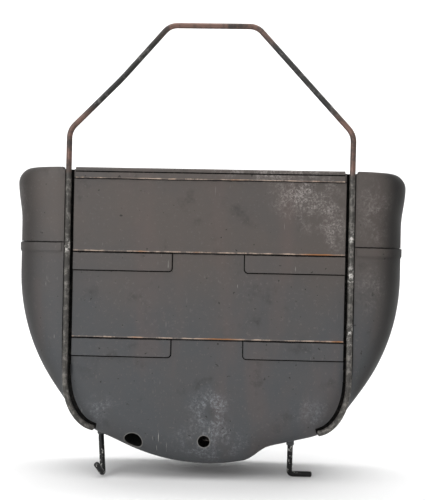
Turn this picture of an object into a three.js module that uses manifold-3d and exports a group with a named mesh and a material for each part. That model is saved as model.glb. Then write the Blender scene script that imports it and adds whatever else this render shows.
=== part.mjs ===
// A half-round sheet-metal charcoal starter: a pressed tub in lapped courses, a wire frame with a carrying
// bail, three swivelling legs and a lift-out grate. Millimetres; X runs across, Y to the back, Z up.
// The feet stand on z = 0, and the front face looks along -Y.
import * as THREE from "three";
import { mergeVertices } from "three/addons/utils/BufferGeometryUtils.js";
import Module from "manifold-3d";

const wasm = await Module();
wasm.setup();

// ---- Driving dimensions ----
const rod = 5; // wire frame and legs
const sheet = 1.2;
const gap = 0.3; // clearance between pieces that touch
const halfWidth = 171; // of the straight sides
const halfDepth = 55;
const arcHeight = 180.6; // where the straight sides turn into the half-round bottom
const drop = 167.6; // from arcHeight down to the lowest point of the bottom
const seamTop = 199.5; // lower edge of the top course
const seamLow = 124.3; // lower edge of the middle course
const beadTop = 207; // top edge of the bowl
const beadHeight = 7.6;
const beadProud = 1;
const rimHeight = 272.8;
const flare = 3.5; // how far the collar widens below its rolled rim
const rimRoll = 13; // radius of the rolled rim at the sides

const endRound = { across: 44.5, deep: 38 }; // rounding of the front and back edges at the sides
const bottomRound = { across: 24, deep: 18 }; // the same along the bottom
const lap = 11; // how far one course runs up behind the next
const pitch = sheet + gap; // step from one course to the next
const grooveIn = 118.8; // the two grooves that the wire frame lies in
const grooveOut = 126.8;
const grooveDeep = 6;
const panelEdge = grooveIn - gap;
const padInner = 31.8; // inner end of the raised pads
const padHeight = 16.4;
const notch = 128.8; // half-width at which the rim is notched for the wire frame
const notchDeep = 2;
const hemEnd = 117.2;
const hemHeight = 9.6;
const rodX = 123.5; // wire frame in its groove
const rodY = -55.5;
const bailLean = THREE.MathUtils.degToRad(8);
const bailShoulder = { x: 124.1, z: 305.2 };
const bailTop = { x: 38.6, z: 400.6 };
const bailBow = 1.4; // how far the left slope of the bail is bent inwards

const legs = [
  { name: "left", x: -94.4, y: -26, under: 35.4, top: 45.4, foot: [-4.4, -11, 10], lean: [4, -14] },
  { name: "right", x: 75.3, y: -26, under: 29.6, top: 40, foot: [19.2, 0, 0], lean: [0, 7] },
  { name: "rear", x: 0, y: 38.5, under: 10.5, top: 20, foot: [0, 17, 0], lean: [0, 0] },
];
const grateWire = 4;
const grateHeight = 66;
const grateHalf = { x: 100, y: 40 };
const grateBars = 9;
const restX = 70;

// ---- Materials ----
const paintedSteel = () => new THREE.MeshStandardMaterial({ color: 0x5f5d5a, roughness: 0.72, metalness: 0.35 });
const darkSteel = () => new THREE.MeshStandardMaterial({ color: 0x2e2d2b, roughness: 0.6, metalness: 0.5 });
const rustyWire = () => new THREE.MeshStandardMaterial({ color: 0x655750, roughness: 0.65, metalness: 0.45 });
const castGrate = () => new THREE.MeshStandardMaterial({ color: 0x3a3836, roughness: 0.8, metalness: 0.4 });
const zincSteel = () => new THREE.MeshStandardMaterial({ color: 0x8b8984, roughness: 0.5, metalness: 0.7 });

// ---- Solids ----
function solid(geometry) {
  const bare = geometry.clone();
  bare.deleteAttribute("normal");
  bare.deleteAttribute("uv");
  const merged = mergeVertices(bare, 1e-4);
  return new wasm.Manifold(
    new wasm.Mesh({
      numProp: 3,
      vertProperties: new Float32Array(merged.attributes.position.array),
      triVerts: new Uint32Array(merged.index.array),
    }),
  );
}

function geometryOf(body) {
  const made = body.getMesh();
  const geometry = new THREE.BufferGeometry();
  geometry.setAttribute("position", new THREE.BufferAttribute(made.vertProperties, 3));
  geometry.setIndex(new THREE.BufferAttribute(made.triVerts, 1));
  geometry.computeVertexNormals();
  return geometry;
}

function box(x0, x1, y0, y1, z0, z1) {
  const geometry = new THREE.BoxGeometry(x1 - x0, y1 - y0, z1 - z0);
  return solid(geometry.translate((x0 + x1) / 2, (y0 + y1) / 2, (z0 + z1) / 2));
}

// Two boxes, one on each side of the middle plane.
function boxPair(x0, x1, y0, y1, z0, z1) {
  return box(x0, x1, y0, y1, z0, z1).add(box(-x1, -x0, y0, y1, z0, z1));
}

function cylinder(radius, from, to, sides = 16) {
  const a = new THREE.Vector3(...from);
  const b = new THREE.Vector3(...to);
  const axis = b.clone().sub(a);
  const geometry = new THREE.CylinderGeometry(radius, radius, axis.length(), sides);
  geometry.rotateY(Math.PI / sides);
  geometry.applyQuaternion(new THREE.Quaternion().setFromUnitVectors(new THREE.Vector3(0, 1, 0), axis.normalize()));
  return solid(geometry.translate((a.x + b.x) / 2, (a.y + b.y) / 2, (a.z + b.z) / 2));
}

// A path through given points, with one section of the swept rod at each of them.
class PointPath extends THREE.Curve {
  constructor(points) {
    super();
    this.points = points;
  }
  getPoint(t, target = new THREE.Vector3()) {
    const place = Math.min(Math.max(t, 0), 1) * (this.points.length - 1);
    const index = Math.min(Math.floor(place), this.points.length - 2);
    return target.lerpVectors(this.points[index], this.points[index + 1], place - index);
  }
  getPointAt(t, target) {
    return this.getPoint(t, target);
  }
  getTangentAt(t, target) {
    return this.getTangent(t, target);
  }
}

// Corners joined by straight runs and rounded bends.
function bentPath(corners, bend, pointsInBend = 4) {
  const path = [corners[0]];
  for (let i = 1; i < corners.length - 1; i++) {
    const here = corners[i];
    const before = here.clone().add(corners[i - 1].clone().sub(here).setLength(bend));
    const after = here.clone().add(corners[i + 1].clone().sub(here).setLength(bend));
    path.push(...new THREE.QuadraticBezierCurve3(before, here, after).getPoints(pointsInBend));
  }
  path.push(corners[corners.length - 1]);
  return path;
}

// An eight-sided rod along the points, with flats facing along its section's own axes.
function rodAlong(points, diameter = rod, sides = 8) {
  const section = new THREE.Shape();
  const reach = diameter / 2 / Math.cos(Math.PI / sides);
  for (let i = 0; i < sides; i++) {
    const angle = ((i + 0.5) / sides) * 2 * Math.PI;
    section[i ? "lineTo" : "moveTo"](reach * Math.cos(angle), reach * Math.sin(angle));
  }
  section.closePath();
  const extrudePath = new PointPath(points);
  return new THREE.ExtrudeGeometry(section, { steps: points.length - 1, extrudePath, bevelEnabled: false });
}

const point = (x, y, z) => new THREE.Vector3(x, y, z);

function ring(inner, outer, low, high, x, y, sides = 16) {
  const profile = [[inner, low], [outer, low], [outer, high], [inner, high], [inner, low]];
  const geometry = new THREE.LatheGeometry(profile.map(([r, z]) => new THREE.Vector2(r, z)), sides);
  return geometry.rotateX(Math.PI / 2).translate(x, y, 0);
}

// ---- The tub's form ----
// Upward shift of the dented stretch of the bottom, right of the middle.
function dent(x, z) {
  const rise = THREE.MathUtils.smoothstep(x, 34, 56);
  const fall = 1 - THREE.MathUtils.smoothstep(x, 50, 104);
  return 7.5 * rise * fall * (1 - THREE.MathUtils.smoothstep(z, 30, 80));
}

// How far the bottom swells outwards at the two corners where the wire frame ends.
const swell = (x) => 2.5 * Math.exp(-(((Math.abs(x) - 102) / 16) ** 2));

// The outline seen from the front: half-round bottom, then the side points (distance out, height) to the top.
function tubOutline(inset, side) {
  const shape = new THREE.Shape();
  const last = side.length - 1;
  shape.moveTo(-side[last][0], side[last][1]);
  for (let i = last - 1; i >= 0; i--) shape.lineTo(-side[i][0], side[i][1]);
  shape.lineTo(inset - halfWidth, arcHeight);
  shape.absellipse(0, arcHeight, halfWidth - inset, drop - inset, Math.PI, 2 * Math.PI, false, 0);
  for (const [out, height] of side) shape.lineTo(out, height);
  shape.closePath();
  return shape;
}

// The outline extruded through the depth, with its front and back edges rounded inwards: widely at the
// sides, closely at the bottom.
const roundSteps = 4;
function tub(inset, side) {
  const steps = 2 * roundSteps + 1;
  const outline = tubOutline(inset, side);
  const geometry = new THREE.ExtrudeGeometry(outline, { depth: 1, steps, bevelEnabled: false, curveSegments: 26 });
  const position = geometry.getAttribute("position");
  for (let i = 0; i < position.count; i++) {
    const x = position.getX(i);
    const z = position.getY(i);
    const step = Math.round(position.getZ(i) * steps);
    const fromEnd = Math.min(step, steps - step);
    const turn = ((fromEnd / roundSteps) * Math.PI) / 2;
    const aside = Math.min(Math.abs(x) / (halfWidth - inset), 1) ** 4;
    const across = THREE.MathUtils.lerp(bottomRound.across, endRound.across, aside) - inset;
    const deep = THREE.MathUtils.lerp(bottomRound.deep, endRound.deep, aside) - inset;
    const tuck = 1 - Math.sin(turn);
    const y = halfDepth - inset - deep * (1 - Math.cos(turn));
    const below = z < arcHeight ? z - arcHeight : 0;
    const out = below ? swell(x) : 0;
    const tuckX = x * (1 - (tuck * across - out) / (halfWidth - inset));
    const tuckZ = z - (below * (tuck * across - out)) / (drop - inset);
    position.setXYZ(i, tuckX, step > roundSteps ? y : -y, tuckZ + dent(x, z));
  }
  return solid(mirrored(geometry));
}

// Turns every face round, for a geometry whose points were moved to their mirror image.
function mirrored(geometry) {
  const flat = geometry.index ? geometry.toNonIndexed() : geometry;
  const position = flat.getAttribute("position");
  const a = new THREE.Vector3();
  const b = new THREE.Vector3();
  for (let i = 0; i < position.count; i += 3) {
    a.fromBufferAttribute(position, i);
    b.fromBufferAttribute(position, i + 1);
    position.setXYZ(i, b.x, b.y, b.z);
    position.setXYZ(i + 1, a.x, a.y, a.z);
  }
  return flat;
}

// Side points of the outline for the bowl: straight up to the given height.
const straightSide = (inset, top) => [[halfWidth - inset, top]];

// Side points for the collars: the widened band below the rim, then the rolled rim.
function collarSide(inset, rolled = true) {
  const out = halfWidth - inset;
  const side = [[out, 229.5], [out + 0.4 * flare, 242], [out + flare, rimHeight - rimRoll - 3]];
  const middle = { x: halfWidth + flare - rimRoll, z: rimHeight - rimRoll };
  const bends = 4;
  for (let i = 0; rolled && i <= bends; i++) {
    const angle = ((i / bends) * Math.PI) / 2;
    side.push([middle.x + (rimRoll - inset) * Math.cos(angle), middle.z + (rimRoll - inset) * Math.sin(angle)]);
  }
  return rolled ? side : [...side, [out, rimHeight + 20]];
}

// Removes the two grooves and the recess of the front panel. depth is how far the panel lies back.
function withFront(body, skin, panelDepth) {
  const front = -halfDepth - 10;
  const grooves = boxPair(grooveIn - skin, grooveOut + skin, front, -halfDepth + grooveDeep + skin, 0, 300);
  const panel = box(-grooveIn - skin, grooveIn + skin, front, -halfDepth + panelDepth + skin, 0, 300);
  return body.subtract(grooves).subtract(panel);
}

function shell(outer, inner, panelDepth) {
  return withFront(outer, 0, panelDepth).subtract(withFront(inner, sheet, panelDepth));
}

// A band of the tub's wall between two insets and two heights, clear of the wire frame's grooves.
function band(insetOut, insetIn, low, high) {
  const wall = tub(insetOut, straightSide(insetOut, 260)).subtract(tub(insetIn, straightSide(insetIn, 260)));
  return wall.intersect(box(-200, 200, -100, 100, low, high)).subtract(box(-notch, notch, -100, 0, 0, 300));
}

// Two round holes low in the front of the bowl, and the holes for the leg sockets.
function bowlHoles() {
  const middle = cylinder(5.2, [-1.1, -70, 34.9], [-1.1, -40, 34.9], 20);
  const corner = cylinder(8.3, [-60.3, -36.4, 41], [-71, -70, 14.6], 20);
  let holes = middle.add(corner);
  for (const leg of legs) holes = holes.add(cylinder(socketOuter + gap, [leg.x, leg.y, 0], [leg.x, leg.y, 60], 16));
  return holes;
}

const socketOuter = 3.5;
const socketInner = rod / 2 + gap;

function bowl() {
  const panelDepth = 2 * pitch;
  const front = -halfDepth + panelDepth;
  const windowBox = box(-108, 108, -70, -45, seamLow + lap, 260);
  const body = shell(tub(0, straightSide(0, beadTop)), tub(sheet, straightSide(sheet, beadTop + 20)), panelDepth);
  const pads = boxPair(padInner, panelEdge, front - pitch, front + 0.2, seamLow - padHeight, seamLow - gap);
  const bead = band(-beadProud, sheet, beadTop - beadHeight, beadTop);
  return body.subtract(windowBox).add(pads).add(bead).subtract(bowlHoles());
}

function collar(sign) {
  const panelDepth = pitch;
  const opening = tub(rimRoll, collarSide(rimRoll, false)).intersect(box(-200, 200, -60, 60, 250, 300));
  let body = shell(tub(0, collarSide(0)), tub(sheet, collarSide(sheet)), panelDepth).subtract(opening);
  body = body.subtract(box(-200, 200, -100, 100, -10, beadTop + gap));
  body = body.add(band(0, 2 * sheet + gap, beadTop + gap, beadTop + gap + sheet));
  body = body.add(band(pitch, pitch + sheet, beadTop - 6, beadTop + gap + sheet));
  const courseClear = box(-119, 119, -70, -halfDepth + 2 * pitch, 190, seamTop + lap + 2);
  const middleOut = box(-110, 110, -70, 0, 0, 300).add(box(-70, 70, 0, 70, 0, 300));
  const notches = box(-notch, notch, -70, -40, rimHeight - notchDeep, 300).add(
    box(-118, 118, 40, 70, rimHeight - notchDeep, 300),
  );
  const frontLip = box(-118, 118, -halfDepth + pitch + sheet, -20, 255, 300);
  const backLip = box(-118, 118, 20, halfDepth - sheet, 255, 300);
  for (const cut of [courseClear, middleOut, notches, frontLip, backLip, rivetHoles()]) body = body.subtract(cut);
  return body.intersect(sign > 0 ? box(0, 200, -100, 100, 0, 300) : box(-200, 0, -100, 100, 0, 300));
}

// ---- Front courses, rim hems and back plate ----
function topCourse() {
  const front = -halfDepth;
  return box(-panelEdge, panelEdge, front, front + sheet, seamTop, rimHeight - notchDeep);
}

function middleCourse() {
  const front = -halfDepth + pitch;
  const plate = box(-panelEdge, panelEdge, front, front + sheet, seamLow, seamTop + lap);
  const pads = boxPair(padInner, panelEdge, front - pitch, front + 0.2, seamTop - padHeight, seamTop - gap);
  return plate.add(pads);
}

// A strip folded over the rim: profile points are (distance inwards, height).
function hem(outside, inside) {
  const low = rimHeight - hemHeight;
  const top = rimHeight;
  const profile = [
    [outside, low], [outside, top], [inside, top], [inside, low],
    [inside - sheet, low], [inside - sheet, top - sheet], [outside + sheet, top - sheet], [outside + sheet, low],
  ];
  const shape = new THREE.Shape(profile.map(([y, z]) => new THREE.Vector2(y, z)));
  const geometry = new THREE.ExtrudeGeometry(shape, { depth: 2 * hemEnd, bevelEnabled: false });
  geometry.rotateX(Math.PI / 2).rotateZ(Math.PI / 2);
  return geometry.translate(-hemEnd, 0, 0);
}

const backPlateHalf = 84;
const backFace = halfDepth + gap;
const rivetRows = [225, 255];
const rivetX = 77;

function rivetHoles() {
  let holes = null;
  for (const z of rivetRows) {
    for (const x of [-rivetX, rivetX]) {
      const hole = cylinder(2 + gap, [x, halfDepth - 5, z], [x, halfDepth + 5, z], 12);
      holes = holes ? holes.add(hole) : hole;
    }
  }
  return holes;
}

function backPlate() {
  const plate = box(-backPlateHalf, backPlateHalf, backFace, backFace + sheet, beadTop + gap, rimHeight - notchDeep);
  return plate.subtract(rivetHoles());
}

// A rivet along Y: a shank through both sheets with a head at each end.
function rivet(x, z) {
  const inner = halfDepth - sheet - gap;
  const outer = backFace + sheet + gap;
  const shank = cylinder(2, [x, inner - 0.9, z], [x, outer + 0.8, z], 10);
  const heads = cylinder(3.6, [x, outer, z], [x, outer + 0.9, z], 12).add(
    cylinder(3.4, [x, inner - 1, z], [x, inner, z], 12),
  );
  return shank.add(heads);
}

// ---- Wire frame ----
function wireFrame() {
  const half = (side) => {
    const foot = new THREE.CubicBezierCurve3(
      point(side * rodX, rodY, 90),
      point(side * rodX, rodY, 63),
      point(side * 111.4, -51, 46.8),
      point(side * 99.4, -46.2, 43.8),
    ).getPoints(8);
    const back = (z) => rodY + (z - rimHeight) * Math.tan(bailLean);
    const slope = { x: (bailShoulder.x + bailTop.x) / 2, z: (bailShoulder.z + bailTop.z) / 2 };
    const bow = side < 0 ? bailBow : 0;
    const corners = [
      point(side * rodX, rodY, 90),
      point(side * rodX, rodY, rimHeight),
      point(side * bailShoulder.x, back(bailShoulder.z), bailShoulder.z),
      point(side * (slope.x - bow), back(slope.z - bow), slope.z - bow),
      point(side * bailTop.x, back(bailTop.z), bailTop.z),
      point(0, back(bailTop.z), bailTop.z),
    ];
    return [...foot.reverse(), ...bentPath(corners, 7).slice(1)];
  };
  const left = half(-1);
  const right = half(1).reverse();
  return rodAlong([...left, ...right.slice(1)]);
}

// ---- Legs ----
// The foot: a bend at floor level, and a toe to one side.
function leg({ x, y, top, foot, lean, under }) {
  const low = rod / 2;
  const bottom = point(x + lean[0], y + lean[1], low);
  const shaftTop = point(x, y, top + 6.5);
  const knee = point(x, y, Math.max(under - 2, low + 4));
  const toe = bottom.clone().add(point(...foot));
  const straight = lean.every((shift) => shift === 0);
  const corners = straight ? [shaftTop, bottom, toe] : [shaftTop, knee, bottom, toe];
  const bent = solid(rodAlong(bentPath(corners, 2.6, 3)));
  return bent.intersect(box(-300, 300, -200, 200, 0, 100));
}

function socket({ x, y, under, top }) {
  return ring(socketInner, socketOuter, under, top, x, y);
}

function washer({ x, y, top }) {
  return ring(socketInner, 5.5, top + gap, top + gap + 1, x, y);
}

// A pressed cap that grips the leg's end above the washer.
function legCap({ x, y, top }) {
  const low = top + 1 + 2 * gap;
  const outer = cylinder(4.2, [x, y, low], [x, y, low + 6], 12);
  const inner = cylinder(rod / 2 + gap, [x, y, low - 1], [x, y, low + 5.2], 16);
  return outer.subtract(inner);
}

// ---- Grate ----
function grateFrame() {
  const { x, y } = grateHalf;
  const corner = [[-x, 0], [-x, -y], [x, -y], [x, y], [-x, y], [-x, 0]].map(([a, b]) => point(a, b, grateHeight));
  const points = bentPath(corner, 9);
  const length = points.length - 1;
  const half = Math.floor(length / 2);
  const first = solid(rodAlong(points.slice(0, half + 1), grateWire));
  const second = solid(rodAlong(points.slice(half), grateWire));
  const joint = cylinder(grateWire / 2 + 0.2, [-x, -3, grateHeight], [-x, 3, grateHeight], 8);
  const far = points[half];
  const next = points[half + 1];
  const along = next.clone().sub(far).setLength(2);
  const start = far.clone().sub(along);
  const end = far.clone().add(along);
  const sleeve = cylinder(grateWire / 2 + 0.2, start.toArray(), end.toArray(), 8);
  return first.add(second).add(joint).add(sleeve);
}

function grateBar(index) {
  const x = THREE.MathUtils.lerp(-80, 80, index / (grateBars - 1));
  const z = grateHeight + grateWire + gap;
  return cylinder(grateWire / 2, [x, -grateHalf.y - 2, z], [x, grateHalf.y + 2, z], 8);
}

// A strap from the front wall to the back wall that the grate sits on, its ends turned down.
function grateRest(side) {
  const top = grateHeight - grateWire / 2 - gap;
  const front = -halfDepth + 2 * pitch + sheet + gap;
  const back = halfDepth - sheet - gap;
  const thick = 1.5;
  const outer = box(side * restX - 6, side * restX + 6, front, back, top - 4.8, top);
  return outer.subtract(box(side * restX - 9, side * restX + 9, front + thick, back - thick, 0, top - thick));
}

// ---- Assembly ----
const assembly = new THREE.Group();
function place(name, body, material) {
  const geometry = body.isBufferGeometry ? body : geometryOf(body);
  const made = new THREE.Mesh(geometry, material);
  made.name = name;
  assembly.add(made);
}

place("bowl", bowl(), paintedSteel());
place("collar_left", collar(-1), paintedSteel());
place("collar_right", collar(1), paintedSteel());
place("top_course", topCourse(), paintedSteel());
place("middle_course", middleCourse(), paintedSteel());
place("front_rim_hem", hem(-halfDepth - pitch, -halfDepth + 2 * pitch + sheet), paintedSteel());
place("back_rim_hem", hem(halfDepth - 2 * pitch, backFace + pitch + sheet), paintedSteel());
place("back_plate", backPlate(), paintedSteel());
rivetRows.forEach((z, row) => {
  place("back_rivet_left_" + (row + 1), rivet(-rivetX, z), zincSteel());
  place("back_rivet_right_" + (row + 1), rivet(rivetX, z), zincSteel());
});
place("wire_frame", wireFrame(), rustyWire());
for (const each of legs) {
  place("leg_" + each.name, leg(each), darkSteel());
  place("leg_socket_" + each.name, socket(each), paintedSteel());
  place("leg_washer_" + each.name, washer(each), zincSteel());
  place("leg_cap_" + each.name, legCap(each), zincSteel());
}
place("grate_frame", grateFrame(), castGrate());
for (let i = 0; i < grateBars; i++) place("grate_bar_" + (i + 1), grateBar(i), castGrate());
place("grate_rest_left", grateRest(-1), darkSteel());
place("grate_rest_right", grateRest(1), darkSteel());

export default assembly;
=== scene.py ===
import math

import bmesh
import bpy
import numpy as np
from mathutils import Matrix, Vector


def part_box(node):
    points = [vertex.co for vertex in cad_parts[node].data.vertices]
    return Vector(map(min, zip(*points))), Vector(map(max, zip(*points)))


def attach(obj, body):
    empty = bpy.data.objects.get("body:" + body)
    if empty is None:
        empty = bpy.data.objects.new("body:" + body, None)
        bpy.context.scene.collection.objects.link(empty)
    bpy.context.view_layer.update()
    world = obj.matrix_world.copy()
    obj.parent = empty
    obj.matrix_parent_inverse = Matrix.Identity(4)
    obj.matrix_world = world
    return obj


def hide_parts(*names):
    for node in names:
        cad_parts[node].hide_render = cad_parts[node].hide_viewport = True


# Looks of the half-round charcoal starter. Lengths below are in millimetres, as in the CAD part, and MM
# turns them into Blender's metres when a mesh is made.
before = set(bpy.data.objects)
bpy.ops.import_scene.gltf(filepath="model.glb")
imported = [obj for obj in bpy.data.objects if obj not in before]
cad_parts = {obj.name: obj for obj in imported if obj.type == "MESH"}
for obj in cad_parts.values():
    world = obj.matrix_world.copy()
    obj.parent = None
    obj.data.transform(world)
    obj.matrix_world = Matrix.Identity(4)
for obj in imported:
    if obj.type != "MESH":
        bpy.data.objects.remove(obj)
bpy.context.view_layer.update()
MM = 0.001


def corners(node):
    low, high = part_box(node)
    return Vector(low) / MM, Vector(high) / MM


# ---- Measures, read from the frame where its boxes give them ----
BOWL_LOW, BOWL_HIGH = corners("bowl")
_, COLLAR_HIGH = corners("collar_right")
TOP_LOW, TOP_HIGH = corners("top_course")
MIDDLE_LOW, MIDDLE_HIGH = corners("middle_course")
HEM_LOW, HEM_HIGH = corners("front_rim_hem")
_, WIRE_HIGH = corners("wire_frame")
GRATE_LOW, GRATE_HIGH = corners("grate_frame")
REAR_LEG_LOW, REAR_LEG_HIGH = corners("leg_rear")
SOCKET = {side: corners("leg_socket_" + side) for side in ("left", "right", "rear")}

SHEET = TOP_HIGH.y - TOP_LOW.y
ROD = REAR_LEG_HIGH.x - REAR_LEG_LOW.x
GAP = 0.3
PITCH = SHEET + GAP
BEAD_PROUD = 1.0
HALF_WIDTH = BOWL_HIGH.x - BEAD_PROUD
HALF_DEPTH = -TOP_LOW.y
PANEL_DEPTH = HALF_DEPTH - 2 * PITCH
ARC_HEIGHT = 180.6
DROP = ARC_HEIGHT - BOWL_LOW.z
BEAD_TOP = BOWL_HIGH.z
BEAD_HEIGHT = 7.6
RIM = COLLAR_HIGH.z
FLARE = COLLAR_HIGH.x - HALF_WIDTH
RIM_ROLL = 13.0
SEAM_TOP = TOP_LOW.z
SEAM_LOW = MIDDLE_LOW.z
PANEL_EDGE = TOP_HIGH.x
GROOVE_IN = PANEL_EDGE + GAP
GROOVE_OUT = GROOVE_IN + 8.0
GROOVE_DEEP = 6.0
NOTCH = 128.8
NOTCH_DEEP = 2.0
END_ROUND = (44.5, 38.0)
BOTTOM_ROUND = (24.0, 18.0)
PAD_INNER = 31.8
PAD_HEIGHT = 16.4
CREASE = 0.9
# Two points on the axis of each hole, and its radius.
HOLES = (((-1.1, -70, 34.9), (-1.1, -40, 34.9), 5.2), ((-60.3, -36.4, 41.0), (-71, -70, 14.6), 8.3))
ROD_X = 123.5
ROD_Y = -55.5
FOOT_END = (99.4, -46.2, 43.8)
FOOT_BENDS = ((ROD_X, ROD_Y, 63), (111.4, -51, 46.8))
# More than the CAD part's swell, so that no light shows between the wire's lower ends and the bottom.
SWELL, SWELL_AT, SWELL_REACH = 4.5, 106.0, 17.0
DENT_DEEP = 7.5
FLARE_FROM = 226.0  # where the collars begin to flare
BAIL_BOW = 1.4  # how far the left slope of the bail is bent inwards
BAIL_LEAN = math.radians(8)
BAIL_HALF_TOP = 38.6
SHOULDER_X, SHOULDER_Z = 124.1, 305.2
FAR = 400.0  # past the whole part, for tools that cut right through
LAP = 11.0  # how far a course runs up behind the next
WINDOW = 108.0  # half-width of the bowl's opening behind the middle course
DIP_FROM = 255.0  # above this height the collars' lips are cut back for the hems


def smoothstep(x, low, high):
    t = np.clip((np.asarray(x, float) - low) / (high - low), 0.0, 1.0)
    return t * t * (3 - 2 * t)


# ---- Mesh helpers ----
def new_object(name, verts, faces, smooth_angle=35.0):
    """A mesh object from points in millimetres."""
    mesh = bpy.data.meshes.new(name)
    mesh.from_pydata([tuple(c * MM for c in v) for v in verts], [], faces)
    mesh.update()
    mesh.materials.append(None)
    mesh.materials.append(None)
    obj = bpy.data.objects.new(name, mesh)
    bpy.context.scene.collection.objects.link(obj)
    soften(obj, smooth_angle)
    return obj


def soften(obj, angle=35.0):
    mesh = obj.data
    mesh.polygons.foreach_set("use_smooth", [True] * len(mesh.polygons))
    mesh.set_sharp_from_angle(angle=math.radians(angle))
    mesh.update()


def applied(obj):
    """obj with its modifiers turned into mesh."""
    graph = bpy.context.evaluated_depsgraph_get()
    made = bpy.data.meshes.new_from_object(obj.evaluated_get(graph))
    old = obj.data
    obj.modifiers.clear()
    obj.data = made
    bpy.data.meshes.remove(old)
    return obj


def combine(obj, tool, operation):
    """Joins, cuts or intersects obj with tool, which is used up."""
    change = obj.modifiers.new("combine", "BOOLEAN")
    change.operation = operation
    change.solver = "MANIFOLD"
    change.object = tool
    applied(obj)
    bpy.data.objects.remove(tool)
    return obj


def cut(obj, *tools):
    for tool in tools:
        combine(obj, tool, "DIFFERENCE")
    return obj


def join(obj, *tools):
    for tool in tools:
        combine(obj, tool, "UNION")
    return obj


def block(x0, x1, y0, y1, z0, z1):
    verts = [(x, y, z) for x in (x0, x1) for y in (y0, y1) for z in (z0, z1)]
    faces = [(0, 1, 3, 2), (4, 6, 7, 5), (0, 4, 5, 1), (2, 3, 7, 6), (0, 2, 6, 4), (1, 5, 7, 3)]
    return new_object("block", verts, faces)


def loft(name, rings, smooth_angle=35.0):
    """A skin over rings of equal length, with flat ends."""
    count = len(rings[0])
    verts = [p for ring in rings for p in ring]
    faces = []
    for row in range(len(rings) - 1):
        for i in range(count):
            j = (i + 1) % count
            a = row * count
            faces.append((a + i, a + j, a + count + j, a + count + i))
    last = (len(rings) - 1) * count
    faces.append(tuple(reversed(range(count))))
    faces.append(tuple(last + i for i in range(count)))
    obj = new_object(name, verts, faces, smooth_angle)
    face_outwards(obj)
    return obj


def shaded_and_grimy(obj, test=lambda face: True):
    """Gives the faces that pass the test the second material, near-black painted shade and soot, which a cut
    passes on.
    """
    for face in obj.data.polygons:
        if test(face):
            face.material_index = 1
    return obj


def face_outwards(obj):
    work = bmesh.new()
    work.from_mesh(obj.data)
    bmesh.ops.recalc_face_normals(work, faces=work.faces)
    work.to_mesh(obj.data)
    work.free()


def sweep(name, path, radius, sides=20):
    """A round rod along the path, with domed ends."""
    path = [Vector(p) for p in path]
    last = len(path) - 1
    tangents = [(path[min(i + 1, last)] - path[max(i - 1, 0)]).normalized() for i in range(last + 1)]
    angles = [2 * math.pi * i / sides for i in range(sides)]
    normal = tangents[0].orthogonal().normalized()
    rings = []
    for place, (here, along) in enumerate(zip(path, tangents)):
        if place:
            turn = tangents[place - 1].rotation_difference(along)
            normal = (turn @ normal).normalized()
        side = along.cross(normal)
        rings.append([here + radius * (math.cos(a) * normal + math.sin(a) * side) for a in angles])
    start = rod_end(path[0], -tangents[0], radius, rings[0])
    end = rod_end(path[-1], tangents[-1], radius, rings[-1])
    return loft(name, start[::-1] + rings + end, 50.0)


def rod_end(centre, outwards, radius, ring):
    """Rings that close a rod in a flattened dome."""
    loops = []
    for turn in (0.35, 0.75, 1.15):
        out, ahead = math.cos(turn), 0.5 * math.sin(turn)
        loops.append([centre + (p - centre) * out + outwards * radius * ahead for p in ring])
    return loops


def bezier(p0, p1, p2, p3, count):
    points = []
    for i in range(count + 1):
        t = i / count
        s = 1 - t
        outer = s**3 * Vector(p0) + 3 * s * s * t * Vector(p1)
        points.append(outer + 3 * s * t * t * Vector(p2) + t**3 * Vector(p3))
    return points


def bent(route, bend, count=10, step=6.0):
    """Corners joined by straight runs and rounded bends."""
    route = [Vector(p) for p in route]
    path = [route[0]]
    for before, here, after in zip(route, route[1:], route[2:]):
        start = here + (before - here).normalized() * bend
        end = here + (after - here).normalized() * bend
        path += straight(path[-1], start, step)
        for part in (i / count for i in range(count + 1)):
            path.append(start.lerp(here, part).lerp(here.lerp(end, part), part))
    return path + straight(path[-1], route[-1], step) + [route[-1]]


def straight(start, end, step):
    pieces = max(int((end - start).length / step), 1)
    return [start.lerp(end, i / pieces) for i in range(1, pieces)]


def lathe(name, profile, at, sides=28):
    """A turned piece about a vertical axis through at, from (radius, height) points."""
    rings = []
    for i in range(sides):
        angle = 2 * math.pi * i / sides
        rings.append([(at[0] + r * math.cos(angle), at[1] + r * math.sin(angle), z) for r, z in profile])
    count = len(profile)
    verts = [p for ring in rings for p in ring]
    faces = []
    for i in range(sides):
        for k in range(count):
            a, b = i * count, ((i + 1) % sides) * count
            m = (k + 1) % count
            faces.append((a + k, b + k, b + m, a + m))
    obj = new_object(name, verts, faces, 40.0)
    face_outwards(obj)
    return obj


# ---- The tub's form ----
def dent(x, z):
    """How far the lower right of the bottom is pushed up."""
    rise = smoothstep(x, 34, 56)
    fall = 1 - smoothstep(x, 50, 104)
    return DENT_DEEP * rise * fall * (1 - smoothstep(z, 30, 80))


def swell(x):
    """How far the bottom swells outwards at the two corners where the wire frame ends."""
    return SWELL * math.exp(-(((abs(x) - SWELL_AT) / SWELL_REACH) ** 2))


def rounding(x, inset):
    """How far the edge rounding reaches across and back, at a distance x from the middle."""
    aside = min(abs(x) / (HALF_WIDTH - inset), 1.0) ** 4
    return tuple(low + (wide - low) * aside - inset for low, wide in zip(BOTTOM_ROUND, END_ROUND))


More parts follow.
